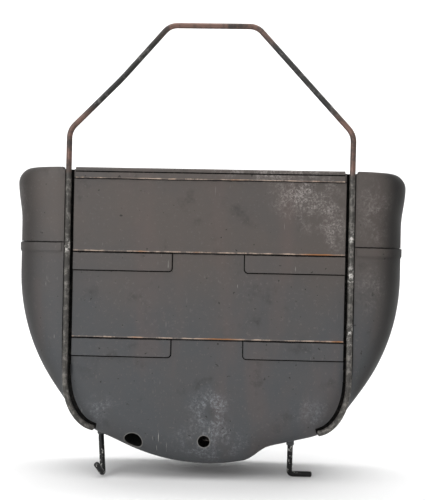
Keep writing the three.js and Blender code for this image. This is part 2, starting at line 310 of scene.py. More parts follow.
def tub(inset, side, front=None, arc=110, turns=14):
    """The tub as a solid: the outline runs round the half-round bottom and up the side points."""
    front = front or HALF_DEPTH
    out, fall = HALF_WIDTH - inset, DROP - inset
    angles = [math.pi * (1 + i / arc) for i in range(arc + 1)]
    outline = [(-x, z) for x, z in reversed(side)]
    outline += [(out * math.cos(a), ARC_HEIGHT + fall * math.sin(a)) for a in angles]
    outline += list(side)
    rings = []
    for end in range(2):
        steps = range(turns + 1) if end == 0 else range(turns, -1, -1)
        depth = front if end == 0 else HALF_DEPTH
        for step in steps:
            turn = step / turns * math.pi / 2
            tuck = 1 - math.sin(turn)
            ring = []
            for x, z in outline:
                across, deep = rounding(x, inset)
                y = depth - inset - deep * (1 - math.cos(turn))
                below = min(z - ARC_HEIGHT, 0)
                pulled = tuck * across - (swell(x) if below else 0)
                shifted = z - below * pulled / fall + float(dent(x, z))
                ring.append((x * (1 - pulled / out), -y if end == 0 else y, shifted))
            rings.append(ring)
    return loft("tub", rings)


def straight_side(inset, top):
    return [(HALF_WIDTH - inset, top)]


def collar_side(inset, rolled=True):
    out = HALF_WIDTH - inset
    middle_x, middle_z = HALF_WIDTH + FLARE - RIM_ROLL, RIM - RIM_ROLL
    heights = np.linspace(FLARE_FROM, middle_z - 2, 9)
    side = [(out + FLARE * float(smoothstep(z, FLARE_FROM, middle_z)), float(z)) for z in heights]
    if not rolled:
        return side + [(out, RIM + 20)]
    for i in range(13):
        angle = i / 12 * math.pi / 2
        reach = RIM_ROLL - inset
        side.append((middle_x + reach * math.cos(angle), middle_z + reach * math.sin(angle)))
    return side


def surface_y(x, z):
    """Where the front surface lies behind the point (x, z) of the front view, for the lower part."""
    def outside(tuck):
        pulled = tuck * rounding(x, 0)[0] - swell(x)
        wide, fall = HALF_WIDTH - pulled, DROP - pulled
        return (x / wide) ** 2 + (min(z - ARC_HEIGHT, 0) / fall) ** 2 > 1
    if not outside(1.0):
        return -HALF_DEPTH
    low, high = 0.0, 1.0
    for _ in range(24):
        tuck = (low + high) / 2
        low, high = (low, tuck) if outside(tuck) else (tuck, high)
    turn = math.asin(max(1 - low, 0.0))
    return -HALF_DEPTH + rounding(x, 0)[1] * (1 - math.cos(turn))


def groove_path():
    """The wire's route in its groove, from above the rim to the lower corner, on the right side."""
    top = [Vector((ROD_X, ROD_Y, z)) for z in (300, 240, 180, 130, 100)]
    end = Vector(FOOT_END) + Vector((-2.0, 0.8, -0.6))
    return top + bezier((ROD_X, ROD_Y, 90), *FOOT_BENDS, FOOT_END, 16) + [end]


def groove_tool(side, skin):
    """What is cut away for the groove: a trench that follows the wire and the surface's own depth."""
    path = groove_path()
    rings = []
    for i, here in enumerate(path):
        ahead, behind = path[min(i + 1, len(path) - 1)], path[max(i - 1, 0)]
        run = Vector((ahead.x - behind.x, 0, ahead.z - behind.z)).normalized()
        inwards = Vector((run.z, 0, -run.x))
        if inwards.x > 0:
            inwards = -inwards
        inner = here + inwards * (ROD_X - GROOVE_IN + skin)
        outer = here - inwards * (GROOVE_OUT - ROD_X + skin)
        floor = -HALF_DEPTH + GROOVE_DEEP + skin
        if here.z < 100:
            floor = max(floor, min(surface_y(inner.x, inner.z) + 9, -37) + skin)
        ring = [(inner.x, -70), (outer.x, -70), (outer.x, floor), (inner.x, floor)]
        heights = (inner.z, outer.z, outer.z, inner.z)
        rings.append([(side * x, y, z) for (x, y), z in zip(ring, heights)])
    tool = loft("groove", rings)
    # The groove's own faces get the near-black painted shade, for the shadow round the wire.
    return tool if skin else shaded_and_grimy(tool)


def wall_solid(inset, side, skin, front):
    """Outer or inner solid of the tub's wall: wings at full depth, the panel between the grooves set back."""
    edge = GROOVE_IN + skin
    wings = cut(tub(inset, side), block(-edge, edge, -90, 0, -10, FAR))
    panel = combine(tub(inset, side, front), block(-edge, edge, -90, 1, -10, FAR), "INTERSECT")
    whole = join(wings, panel)
    return cut(whole, groove_tool(1, skin), groove_tool(-1, skin))


def shell(outer_side, inner_side, front):
    return cut(wall_solid(0, outer_side, 0, front), shaded_and_grimy(wall_solid(SHEET, inner_side, SHEET, front)))


def band(inset_out, inset_in, low, high):
    wall = cut(tub(inset_out, straight_side(inset_out, 260)), tub(inset_in, straight_side(inset_in, 260)))
    combine(wall, block(-200, 200, -100, 100, low, high), "INTERSECT")
    return cut(wall, block(-NOTCH, NOTCH, -100, 0, 0, 300))


def rod_tool(radius, start, end, sides=40):
    start, end = Vector(start), Vector(end)
    along = (end - start).normalized()
    across = along.orthogonal().normalized()
    other = along.cross(across)
    angles = [2 * math.pi * i / sides for i in range(sides)]
    around = [radius * (math.cos(a) * across + math.sin(a) * other) for a in angles]
    return loft("rod_tool", [[end_point + shift for shift in around] for end_point in (start, end)])


def pad(x0, x1, front, back, low, high, corner=3.0):
    """A block with a rounded lower inner corner and an eased front edge."""
    def outline(shrink):
        a, b = x0 + shrink, low + shrink
        turns = np.linspace(0, math.pi / 2, 8)
        arc = [(a + corner - corner * math.cos(t), b + corner - corner * math.sin(t)) for t in turns]
        return [(a, high)] + arc + [(x1, b), (x1, high)]
    steps = ((0, back), (0, front + 0.6), (0.2, front + 0.2), (0.6, front))
    rings = [[(x, y, z) for x, z in outline(shrink)] for shrink, y in steps]
    return loft("pad", rings)


def both_sides(right):
    left = right.copy()
    left.data = right.data.copy()
    bpy.context.scene.collection.objects.link(left)
    left.data.transform(Matrix.Scale(-1, 4, (1, 0, 0)))
    left.data.flip_normals()
    return join(right, left)


def add_pads(body, front, seam):
    """Raises the two pads from the panel whose front is given, with a pressed crease round each; the crease
    and the pads' sides carry painted shade.
    """
    low, high = seam - PAD_HEIGHT, seam - 3 * GAP
    trench = pad(PAD_INNER - CREASE, PANEL_EDGE + 9, front - 1, front + 0.9, low - CREASE, high + 5, 3.6)
    # The crease round each pad carries the near-black painted shade.
    cut(body, both_sides(shaded_and_grimy(trench)))
    raised = pad(PAD_INNER, PANEL_EDGE, front - PITCH, front + 1.1, low, high)
    edge = (front - PITCH + 0.65) * MM
    # The pads' sides carry the near-black painted shade.
    join(body, both_sides(shaded_and_grimy(raised, lambda face: face.center.y > edge)))


PIECES = set()


def finished(obj, name, *nodes, body="tub", weighted=True, angle=35.0):
    """Names the piece, makes it ride on its body and stand for its CAD nodes."""
    PIECES.add(name)
    obj.name = name
    obj.data.name = name
    soften(obj, angle)
    if weighted:
        obj.modifiers.new("weighted", "WEIGHTED_NORMAL").keep_sharp = True
    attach(obj, body)
    if nodes:
        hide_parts(*nodes)
    return obj


def make_bowl():
    body = shell(straight_side(0, BEAD_TOP), straight_side(SHEET, BEAD_TOP + 20), PANEL_DEPTH)
    cut(body, block(-WINDOW, WINDOW, -90, -45, SEAM_LOW + LAP, FAR))
    add_pads(body, -PANEL_DEPTH, SEAM_LOW)
    join(body, band(-BEAD_PROUD, SHEET, BEAD_TOP - BEAD_HEIGHT, BEAD_TOP - 0.7))
    join(body, band(-BEAD_PROUD / 2, SHEET, BEAD_TOP - BEAD_HEIGHT - 1.2, BEAD_TOP - 0.5))
    for start, end, radius in HOLES:
        cut(body, rod_tool(radius, start, end))
    for low, high in SOCKET.values():
        x, y = (low.x + high.x) / 2, (low.y + high.y) / 2
        cut(body, rod_tool((high.x - low.x) / 2 + 0.2, (x, y, 0), (x, y, 60)))
    return finished(body, "bowl_skin", "bowl")


def make_collars():
    inside = tub(RIM_ROLL, collar_side(RIM_ROLL, False))
    opening = combine(inside, block(-200, 200, -60, 60, 250, FAR), "INTERSECT")
    body = cut(shell(collar_side(0), collar_side(SHEET), HALF_DEPTH - PITCH), opening)
    cut(body, block(-200, 200, -100, 100, -10, BEAD_TOP + GAP))
    join(body, band(0, 2 * SHEET + GAP, BEAD_TOP + GAP, BEAD_TOP + GAP + SHEET))
    join(body, band(PITCH, PITCH + SHEET, BEAD_TOP - 6, BEAD_TOP + GAP + SHEET))
    edge = GROOVE_IN - 0.8
    cut(body, block(-119, 119, -90, -PANEL_DEPTH, 190, MIDDLE_HIGH.z + 2))
    cut(body, block(-110, 110, -90, 0, 0, FAR), block(-70, 70, 0, 90, 0, FAR))
    cut(body, block(-NOTCH, NOTCH, -90, -40, RIM - NOTCH_DEEP, FAR))
    cut(body, block(-edge, edge, 40, 90, RIM - NOTCH_DEEP, FAR))
    cut(body, block(-edge, edge, -HALF_DEPTH + PITCH + SHEET, -20, DIP_FROM, FAR))
    cut(body, block(-edge, edge, 20, HALF_DEPTH - SHEET, DIP_FROM, FAR))
    other = body.copy()
    other.data = body.data.copy()
    bpy.context.scene.collection.objects.link(other)
    cut(body, block(-200, 0, -100, 100, 0, FAR))
    cut(other, block(0, 200, -100, 100, 0, FAR))
    right = finished(body, "collar_right_skin", "collar_right")
    left = finished(other, "collar_left_skin", "collar_left")
    return [left, right]


def plate(x1, front, low, high):
    """A flat plate with slightly rounded edges."""
    body = block(-x1, x1, front, front + SHEET, low, high)
    rounded = body.modifiers.new("edges", "BEVEL")
    rounded.width, rounded.segments = 0.35 * MM, 2
    return applied(body)


def make_courses():
    top = plate(PANEL_EDGE, TOP_LOW.y, SEAM_TOP, TOP_HIGH.z)
    middle = plate(PANEL_EDGE, TOP_LOW.y + PITCH, SEAM_LOW, MIDDLE_HIGH.z)
    add_pads(middle, TOP_LOW.y + PITCH, SEAM_TOP)
    made_top = finished(top, "top_course_skin", "top_course")
    return [made_top, finished(middle, "middle_course_skin", "middle_course")]


def make_hem(name, node, outside, inside):
    """The folded strip over a rim, with a pressed line a little below its fold."""
    low, high = corners(node)
    sign = -1 if outside < inside else 1
    line = RIM - 3.9
    outer = [(outside, low.z), (outside, line - 0.6), (outside - sign * 0.4, line), (outside, line + 0.6)]
    fold = []
    middle, reach = (outside + inside) / 2, abs(outside - inside) / 2
    for t in np.linspace(0, math.pi, 15):
        fold.append((middle + sign * reach * math.cos(t), RIM - 1.6 + 1.6 * math.sin(t)))
    inner = [(inside, low.z), (inside + sign * SHEET, low.z), (inside + sign * SHEET, RIM - SHEET - 0.4)]
    last = [(outside - sign * SHEET, RIM - SHEET - 0.4), (outside - sign * SHEET, low.z)]
    profile = outer + fold + inner + last
    stations = np.linspace(low.x, high.x, 33)
    rings = []
    for x in stations:
        sag = 0.18 * math.sin(x * 0.05) + 0.1 * math.sin(x * 0.21)
        rings.append([(x, y, z + (sag if z < RIM - 5 else 0)) for y, z in profile])
    strip = loft(name, rings)
    near = [(outside - sign * 0.3) * MM, (outside - sign * 0.1) * MM]

    def pressed(face):
        return abs(face.center.z / MM - line) < 0.6 and min(near) < face.center.y < max(near)

    # The pressed line gets the near-black painted shade.
    shaded_and_grimy(strip, pressed)
    return finished(strip, name, node, angle=40.0)


def wire_path():
    top = WIRE_HIGH.z - ROD / 2

    def back(z):
        return ROD_Y + (z - RIM) * math.tan(BAIL_LEAN)

    def side(sign, bow):
        slope = (SHOULDER_Z + top) / 2 - bow
        slope_x = (SHOULDER_X + BAIL_HALF_TOP) / 2 - bow
        route = [(ROD_X, ROD_Y, 90), (ROD_X, ROD_Y, RIM), (SHOULDER_X, back(SHOULDER_Z), SHOULDER_Z),
                 (slope_x, back(slope), slope), (BAIL_HALF_TOP, back(top), top), (0, back(top), top)]
        foot = bezier(route[0], *FOOT_BENDS, FOOT_END, 22)
        path = list(reversed(foot)) + bent(route, 7)[1:]
        return [Vector((sign * p.x, p.y, p.z)) for p in path]
    return side(-1, BAIL_BOW)[:-1] + list(reversed(side(1, 0)))


def make_wire():
    return finished(sweep("wire", wire_path(), ROD / 2, 24), "wire_frame_rod", "wire_frame", weighted=False)


LEGS = {
    "left": {"lean": (4.0, -14.0), "toe": (-4.4, -11.0, 10.0)},
    "right": {"lean": (0.0, 7.0), "toe": (19.2, 0.0, 0.0)},
    "rear": {"lean": (0.0, 0.0), "toe": (0.0, 17.0, 0.0)},
}


def make_leg(side):
    low, high = SOCKET[side]
    x, y = (low.x + high.x) / 2, (low.y + high.y) / 2
    lean = LEGS[side]["lean"]
    bottom = Vector((x + lean[0], y + lean[1], ROD / 2))
    top = Vector((x, y, high.z + 6.3))
    toe = bottom + Vector(LEGS[side]["toe"]) * 0.985
    knee = Vector((x, y, max(low.z - 2, ROD / 2 + 4)))
    route = [top, knee, bottom, toe] if any(lean) else [top, bottom, toe]
    rod = sweep("leg", bent(route, 3.0, 8, 3.0), ROD / 2 - 0.02, 20)
    combine(rod, block(-300, 300, -200, 200, 0, 100), "INTERSECT")
    body = "leg_%s_swivel_body" % side
    return finished(rod, "leg_%s_rod" % side, "leg_" + side, body=body, weighted=False, angle=50)


def upright(node):
    """Middle of a small upright piece, its outer radius, and its lowest and highest points."""
    low, high = corners(node)
    return ((low.x + high.x) / 2, (low.y + high.y) / 2), (high.x - low.x) / 2, low.z, high.z


def make_socket(side):
    """A short tube with eased edges that the leg passes through."""
    at, outer, low, high = upright("leg_socket_" + side)
    inner = ROD / 2 + GAP
    profile = [(inner, low), (outer - 0.25, low), (outer, low + 0.5)]
    profile += [(outer, high - 0.4), (outer - 0.3, high), (inner, high)]
    tube = lathe("socket", profile, at)
    return finished(tube, "leg_socket_%s_tube" % side, "leg_socket_" + side, weighted=False)


def make_washer(side):
    at, outer, low, high = upright("leg_washer_" + side)
    inner = ROD / 2 + GAP
    profile = [(inner, low), (outer - 0.2, low), (outer, low + 0.2)]
    profile += [(outer, high - 0.3), (outer - 0.3, high), (inner, high)]
    disc = lathe("washer", profile, at)
    body = "leg_%s_swivel_body" % side
    return finished(disc, "leg_washer_%s_disc" % side, "leg_washer_" + side, body=body, weighted=False)


def make_cap(side):
    """A pressed cap over the leg's end, domed on top."""
    at, outer, low, high = upright("leg_cap_" + side)
    inner = ROD / 2 + GAP
    domed = [(outer * math.cos(t), high - 1.6 + 1.6 * math.sin(t)) for t in np.linspace(0, 1.5, 8)]
    under = [(0.25, high - 0.7), (inner, high - 0.7)]
    cap = lathe("cap", [(inner, low), (outer, low)] + domed + under, at)
    body = "leg_%s_swivel_body" % side
    return finished(cap, "leg_cap_%s_dome" % side, "leg_cap_" + side, body=body, weighted=False)


def make_rivet(node):
    """A rivet with a domed head outside and an upset end inside."""
    low, high = corners(node)
    x, z, head = (low.x + high.x) / 2, (low.z + high.z) / 2, (high.x - low.x) / 2
    shank = 2.0
    outer, inner = HALF_DEPTH + GAP + SHEET + GAP, HALF_DEPTH - SHEET - GAP
    tall = high.y - outer
    dome = [(head * math.cos(t), outer + tall * math.sin(t)) for t in np.linspace(0, math.pi / 2, 7)][:-1]
    profile = [(0.05, low.y), (head * 0.8, low.y), (head * 0.94, (low.y + inner) / 2), (head * 0.9, inner)]
    profile += [(shank, inner), (shank, outer)] + dome + [(0.05, high.y)]
    piece = lathe("rivet", profile, (0, 0))
    piece.data.transform(Matrix.Translation((x * MM, 0, z * MM)) @ Matrix.Rotation(-math.pi / 2, 4, "X"))
    face_outwards(piece)
    return finished(piece, node + "_head", node, weighted=False)


def make_grate():
    """The frame's loop of wire and the bars across it, each sagging a little in the middle."""
    mid = (GRATE_LOW.z + GRATE_HIGH.z) / 2
    wire = 2.0
    x, y = GRATE_HIGH.x - wire - 0.05, GRATE_HIGH.y - wire
    loop = bent([(-x, 0, mid), (-x, -y, mid), (x, -y, mid), (x, y, mid), (-x, y, mid), (-x, 0.5, mid)], 9)
    around = sweep("loop", loop, wire, 14)
    pieces = [finished(around, "grate_frame_wire", "grate_frame", body="grate", weighted=False)]
    for i in range(1, 10):
        node = "grate_bar_%d" % i
        low, high = corners(node)
        bar_x, bar_z = (low.x + high.x) / 2, (low.z + high.z) / 2
        along = np.linspace(low.y + 0.4, high.y - 0.4, 15)
        sag = [Vector((bar_x, at, bar_z - 0.25 * math.cos(at / high.y * 1.5))) for at in along]
        bar = sweep("bar", sag, (high.x - low.x) / 2, 14)
        pieces.append(finished(bar, node + "_wire", node, body="grate", weighted=False))
    return pieces


def bevel_cad(node, width=0.3):
    """A CAD node that stays, with its sharp edges eased."""
    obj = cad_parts[node]
    edges = obj.modifiers.new("edges", "BEVEL")
    edges.width, edges.segments, edges.limit_method = width * MM, 2, "ANGLE"
    return obj


# ---- Materials ----
# Coordinates inside a material are in metres; spot, stripe, the hole-rim highlight and bump are given
# millimetres.
def shade(name):
    material = bpy.data.materials.new(name)
    material.use_nodes = True
    tree = material.node_tree
    return material, tree, tree.nodes["Principled BSDF"]


def node(tree, kind, **settings):
    made = tree.nodes.new(kind)
    for key, value in settings.items():
        if key in made.inputs:
            made.inputs[key].default_value = value
        else:
            setattr(made, key, value)
    return made


def coords(tree):
    return tree.nodes.new("ShaderNodeTexCoord").outputs["Object"]


def noise_of(tree, scale, detail=4.0, rough=0.55, stretch=None):
    source = coords(tree)
    if stretch:
        mapping = tree.nodes.new("ShaderNodeMapping")
        mapping.inputs["Scale"].default_value = stretch
        tree.links.new(source, mapping.inputs["Vector"])
        source = mapping.outputs[0]
    made = node(tree, "ShaderNodeTexNoise", Scale=scale, Detail=detail, Roughness=rough)
    tree.links.new(source, made.inputs["Vector"])
    return made.outputs["Fac"]


def ramp(tree, value, low, high, from_value=0.0, to_value=1.0):
    made = node(tree, "ShaderNodeMapRange", interpolation_type="SMOOTHSTEP")
    tree.links.new(value, made.inputs["Value"])
    for key, number in (("From Min", low), ("From Max", high), ("To Min", from_value), ("To Max", to_value)):
        made.inputs[key].default_value = number
    return made.outputs[0]


def math_of(tree, operation, a, b=None, clamp=False):
    made = node(tree, "ShaderNodeMath", operation=operation, use_clamp=clamp)
    for socket, value in zip(made.inputs, (a, b)):
        if value is None:
            continue
        if isinstance(value, (int, float)):
            socket.default_value = value
        else:
            tree.links.new(value, socket)
    return made.outputs[0]


def mix(tree, amount, a, b):
    made = node(tree, "ShaderNodeMix", data_type="RGBA")
    for socket, value in ((made.inputs[0], amount), (made.inputs[6], a), (made.inputs[7], b)):
        if isinstance(value, (int, float)):
            socket.default_value = value
        elif isinstance(value, tuple):
            socket.default_value = (*value, 1.0)
        else:
            tree.links.new(value, socket)
    return made.outputs[2]


def axis_of(tree, axis):
    split = tree.nodes.new("ShaderNodeSeparateXYZ")
    tree.links.new(coords(tree), split.inputs[0])
    return split.outputs[axis]


def spot(tree, centre, reach, stretch=(1, 1, 1)):
    """1 at a place on the object, falling to 0 at the given reach, in millimetres."""
    mapping = tree.nodes.new("ShaderNodeMapping")
    mapping.inputs["Location"].default_value = [-c * MM * s for c, s in zip(centre, stretch)]
    mapping.inputs["Scale"].default_value = stretch
    tree.links.new(coords(tree), mapping.inputs["Vector"])
    length = node(tree, "ShaderNodeVectorMath", operation="LENGTH")
    tree.links.new(mapping.outputs[0], length.inputs[0])
    return ramp(tree, length.outputs["Value"], 0.15 * reach * MM, reach * MM, 1.0, 0.0)


def bump(tree, shader, layers):
    """Stacked bumps: (height, depth in millimetres)."""
    last = None
    for height, depth in layers:
        made = node(tree, "ShaderNodeBump", Strength=1.0, Distance=depth * MM)
        tree.links.new(height, made.inputs["Height"])
        if last is not None:
            tree.links.new(last, made.inputs["Normal"])
        last = made.outputs[0]
    tree.links.new(last, shader.inputs["Normal"])


BROWN_GREY = (0.086, 0.075, 0.069)
BLUE_GREY = (0.066, 0.069, 0.073)
DARK_GREY = (0.026, 0.025, 0.025)
# Pale speck colour, also used for the speckled painted reflection on the left side.
PALE_SPECKS_AND_SHEEN = (0.34, 0.31, 0.295)
COLD_SPECKS = (0.25, 0.26, 0.28)
RUST = (0.30, 0.13, 0.05)
PALE_RUST = (0.40, 0.31, 0.25)
# Bare steel, also used for the painted glints on the wire.
BARE_STEEL_AND_GLINT = (0.55, 0.53, 0.50)
# Pale colour of the painted highlight round the holes' rims.
RIM_HIGHLIGHT = (0.24, 0.23, 0.21)
WARM_STREAK = (0.108, 0.083, 0.076)
PALE_GRAIN = (0.15, 0.14, 0.13)
PIT = (0.02, 0.019, 0.018)
SCRATCH = (0.36, 0.35, 0.33)
# Near-black of the painted shade, with some soot, on the tub's sides.
SOOT_AND_SHADE = (0.016, 0.015, 0.014)
# Near-black of the painted shadow lines.
SHADOW_LINE_DARK = (0.006, 0.005, 0.005)
# Centre, reach, stretch and strength of each speckled area; the strip at (-166, -22, 238) along the left
# side's outline is a painted reflection.
SPECKS_AND_SHEEN = [((84, -55, 252), 40, (1, 1, 1.3), 1.0), ((94, -55, 240), 28, (1, 1, 1), 0.9),
            ((108, -55, 222), 24, (1.5, 1, 0.8), 0.7), ((60, -55, 272), 60, (0.8, 1, 4), 0.8),
            ((4, -50, 34), 34, (0.8, 1, 1.4), 0.8), ((4, -53, 62), 26, (1, 1, 1), 1.0),
            ((144, -45, 240), 26, (1, 1, 0.6), 0.45), ((140, -50, 170), 20, (1, 1, 0.7), 0.4),
            ((-166, -22, 238), 30, (2.5, 0.5, 0.7), 0.6), ((-92, -48, 60), 26, (1, 1, 1.3), 0.35),
            ((92, -48, 62), 24, (1, 1, 1.2), 0.35)]


def specks_and_sheen(tree):
    """Pale speckling that clusters around the named places; on the left side's outline it is a painted
    reflection.
    """
    patch = None
    for centre, reach, stretch, strength in SPECKS_AND_SHEEN:
        here = math_of(tree, "MULTIPLY", spot(tree, centre, reach, stretch), strength)
        patch = here if patch is None else math_of(tree, "MAXIMUM", patch, here)
    grain = ramp(tree, noise_of(tree, 420, 9, 0.85), 0.44, 0.60)
    cluster = ramp(tree, noise_of(tree, 70, 6, 0.7), 0.40, 0.60)
    return math_of(tree, "MULTIPLY", patch, math_of(tree, "MULTIPLY", grain, cluster))


def scratches(tree):
    """A few thin pale scratches, at a slant to the height."""
    turned = tree.nodes.new("ShaderNodeMapping")
    turned.inputs["Rotation"].default_value = (0, math.radians(35), 0)
    turned.inputs["Scale"].default_value = (1400, 1, 60)
    tree.links.new(coords(tree), turned.inputs["Vector"])
    lines = node(tree, "ShaderNodeTexNoise", Scale=1.0, Detail=1.0, Roughness=0.3)
    tree.links.new(turned.outputs[0], lines.inputs["Vector"])
    sparse = ramp(tree, noise_of(tree, 38, 2), 0.60, 0.68)
    return math_of(tree, "MULTIPLY", ramp(tree, lines.outputs["Fac"], 0.70, 0.76), sparse)


def stripe(tree, height, low, high, side=None):
    """1 between two heights in millimetres, with a slightly ragged edge; side keeps it to panel or wings."""
    wobble = math_of(tree, "MULTIPLY", math_of(tree, "SUBTRACT", noise_of(tree, 160, 3), 0.5), 0.0012)
    moved = math_of(tree, "ADD", height, wobble)
    above = ramp(tree, moved, (low - 0.1) * MM, (low + 0.1) * MM)
    below = ramp(tree, moved, (high + 0.1) * MM, (high - 0.1) * MM)
    line = math_of(tree, "MULTIPLY", above, below)
    if side is None:
        return line
    aside = math_of(tree, "ABSOLUTE", axis_of(tree, "X"))
    start = (GROOVE_IN + 4) * MM
    keep = ramp(tree, aside, start, start + MM) if side == "wings" else ramp(tree, aside, start + MM, start)
    return math_of(tree, "MULTIPLY", line, keep)


def hole_rim_highlight(tree, start, end, radius):
    """1 on the painted highlight round a hole's rim, given two points on the hole's axis and its radius."""
    along = (Vector(end) - Vector(start)).normalized()
    moved = node(tree, "ShaderNodeVectorMath", operation="SUBTRACT")
    tree.links.new(coords(tree), moved.inputs[0])
    moved.inputs[1].default_value = Vector(start) * MM
    crossed = node(tree, "ShaderNodeVectorMath", operation="CROSS_PRODUCT")
    tree.links.new(moved.outputs[0], crossed.inputs[0])
    crossed.inputs[1].default_value = along
    length = node(tree, "ShaderNodeVectorMath", operation="LENGTH")
    tree.links.new(crossed.outputs[0], length.inputs[0])
    near = ramp(tree, length.outputs["Value"], (radius + 0.5) * MM, (radius + 1.0) * MM, 1.0, 0.0)
    front = ramp(tree, axis_of(tree, "Y"), -0.035, -0.030, 1.0, 0.0)
    return math_of(tree, "MULTIPLY", near, front)


def soot_and_side_shade(tree):
    """How far the paint is darkened towards the sides of the tub, away from its front: painted shade where
    the sides turn away from the light, darker on the right, with some soot.
    """
    depth, across = axis_of(tree, "Y"), axis_of(tree, "X")
    wing = ramp(tree, math_of(tree, "ABSOLUTE", across), 0.120, 0.135)
    turned = ramp(tree, depth, -0.0545, -0.041)
    # Painted shade: the right side, away from the light, is darker than the left.
    side = ramp(tree, across, -0.1, 0.1, 0.62, 0.95)
    return math_of(tree, "MULTIPLY", math_of(tree, "MULTIPLY", wing, turned), side)


def paint_ground(tree, height, cloud, fine):
    """The paint itself: brownish above, bluish below, with streaks, stains, grain and dark pits."""
    sway = math_of(tree, "MULTIPLY", math_of(tree, "SUBTRACT", cloud, 0.5), 1.6)
    blue = math_of(tree, "ADD", ramp(tree, height, 0.235, 0.09), sway, True)
    colour = mix(tree, blue, BROWN_GREY, BLUE_GREY)
    streak = noise_of(tree, 26, 4, 0.5, stretch=(1.0, 1.0, 0.25))
    colour = mix(tree, ramp(tree, streak, 0.50, 0.74, 0.0, 0.45), colour, WARM_STREAK)
    stain = noise_of(tree, 48, 6, 0.65)
    colour = mix(tree, ramp(tree, stain, 0.55, 0.82, 0.0, 0.6), colour, DARK_GREY)
    colour = mix(tree, ramp(tree, fine, 0.58, 0.74, 0.0, 0.34), colour, PALE_GRAIN)
    pits = ramp(tree, noise_of(tree, 240, 2, 0.5), 0.70, 0.76, 0.0, 0.8)
    return mix(tree, pits, colour, PIT)


def wear_and_painted_light(tree, height, colour):
    """Adds pale specks (one patch of them a painted reflection), a painted highlight round each hole's rim,
    scratches, and painted shade with some soot on the sides.
    """
    speck_and_sheen_colour = mix(tree, ramp(tree, height, 0.09, 0.15), COLD_SPECKS, PALE_SPECKS_AND_SHEEN)
    colour = mix(tree, math_of(tree, "MULTIPLY", specks_and_sheen(tree), 0.85), colour, speck_and_sheen_colour)
    for start, end, radius in HOLES:
        # Painted highlight round each hole's rim.
        rim = math_of(tree, "MULTIPLY", hole_rim_highlight(tree, start, end, radius), 0.45)
        colour = mix(tree, rim, colour, RIM_HIGHLIGHT)
    colour = mix(tree, math_of(tree, "MULTIPLY", scratches(tree), 0.8), colour, SCRATCH)
    return mix(tree, soot_and_side_shade(tree), colour, SOOT_AND_SHADE)


def rusty_cut(tree, height, colour, edge, band_height, rustiest):
    """Adds broken rust along a course's cut lower edge, full at the rustiest place if there is one."""
    along = stripe(tree, height, edge - 1, edge + band_height)
    ragged = ramp(tree, noise_of(tree, 75, 5, 0.7, stretch=(1, 1, 0.4)), 0.44, 0.58)
    orange = ramp(tree, noise_of(tree, 30, 3), 0.54, 0.72)
    if rustiest:
        here = spot(tree, rustiest, 26)
        ragged, orange = (math_of(tree, "MAXIMUM", part, here) for part in (ragged, orange))
    cover = math_of(tree, "ADD", math_of(tree, "MULTIPLY", ragged, 0.75), 0.12)
    amount = math_of(tree, "MULTIPLY", along, cover, True)
    return mix(tree, amount, colour, mix(tree, orange, PALE_RUST, RUST))


def painted_steel(name, rusty_edge=None, rusty_band=1.1, shadow_lines=(), rusty_spot=None):
    """Weathered dark grey paint, with a rusty cut edge and painted shadow lines at the given heights."""
    material, tree, shader = shade(name)
    height = axis_of(tree, "Z")
    cloud, fine = noise_of(tree, 14, 5, 0.6), noise_of(tree, 420, 3, 0.6)
    colour = wear_and_painted_light(tree, height, paint_ground(tree, height, cloud, fine))
    if rusty_edge is not None:
        colour = rusty_cut(tree, height, colour, rusty_edge, rusty_band, rusty_spot)
    for low, high, side in shadow_lines:
        # Painted shadow line, under a lap, hem or bead.
        line = math_of(tree, "MULTIPLY", stripe(tree, height, low, high, side), 0.93)
        colour = mix(tree, line, colour, SHADOW_LINE_DARK)
    tree.links.new(colour, shader.inputs["Base Color"])
    tree.links.new(ramp(tree, cloud, 0.3, 0.7, 0.46, 0.62), shader.inputs["Roughness"])
    shader.inputs["Metallic"].default_value = 0.15
    shader.inputs["Specular IOR Level"].default_value = 0.22
    bump(tree, shader, [(noise_of(tree, 9, 3), 1.2), (noise_of(tree, 70, 4), 0.16), (fine, 0.05)])
    return material


def shade_and_grime(name):
    """Near-black: painted shade in the grooves, creases and pressed lines, and soot inside the tub."""
    material, tree, shader = shade(name)
    lumps = noise_of(tree, 300, 5, 0.65)
    colour = mix(tree, ramp(tree, lumps, 0.45, 0.75), (0.004, 0.004, 0.004), (0.030, 0.026, 0.023))
    tree.links.new(colour, shader.inputs["Base Color"])
    tree.links.new(ramp(tree, lumps, 0.3, 0.7, 0.8, 0.95), shader.inputs["Roughness"])
    shader.inputs["Specular IOR Level"].default_value = 0.1
    bump(tree, shader, [(lumps, 0.15)])
    return material


SLOPE_BEGINS, SLOPE_ENDS = (0.312, 0.330), (0.396, 0.380)  # heights of the bail's slopes, in metres


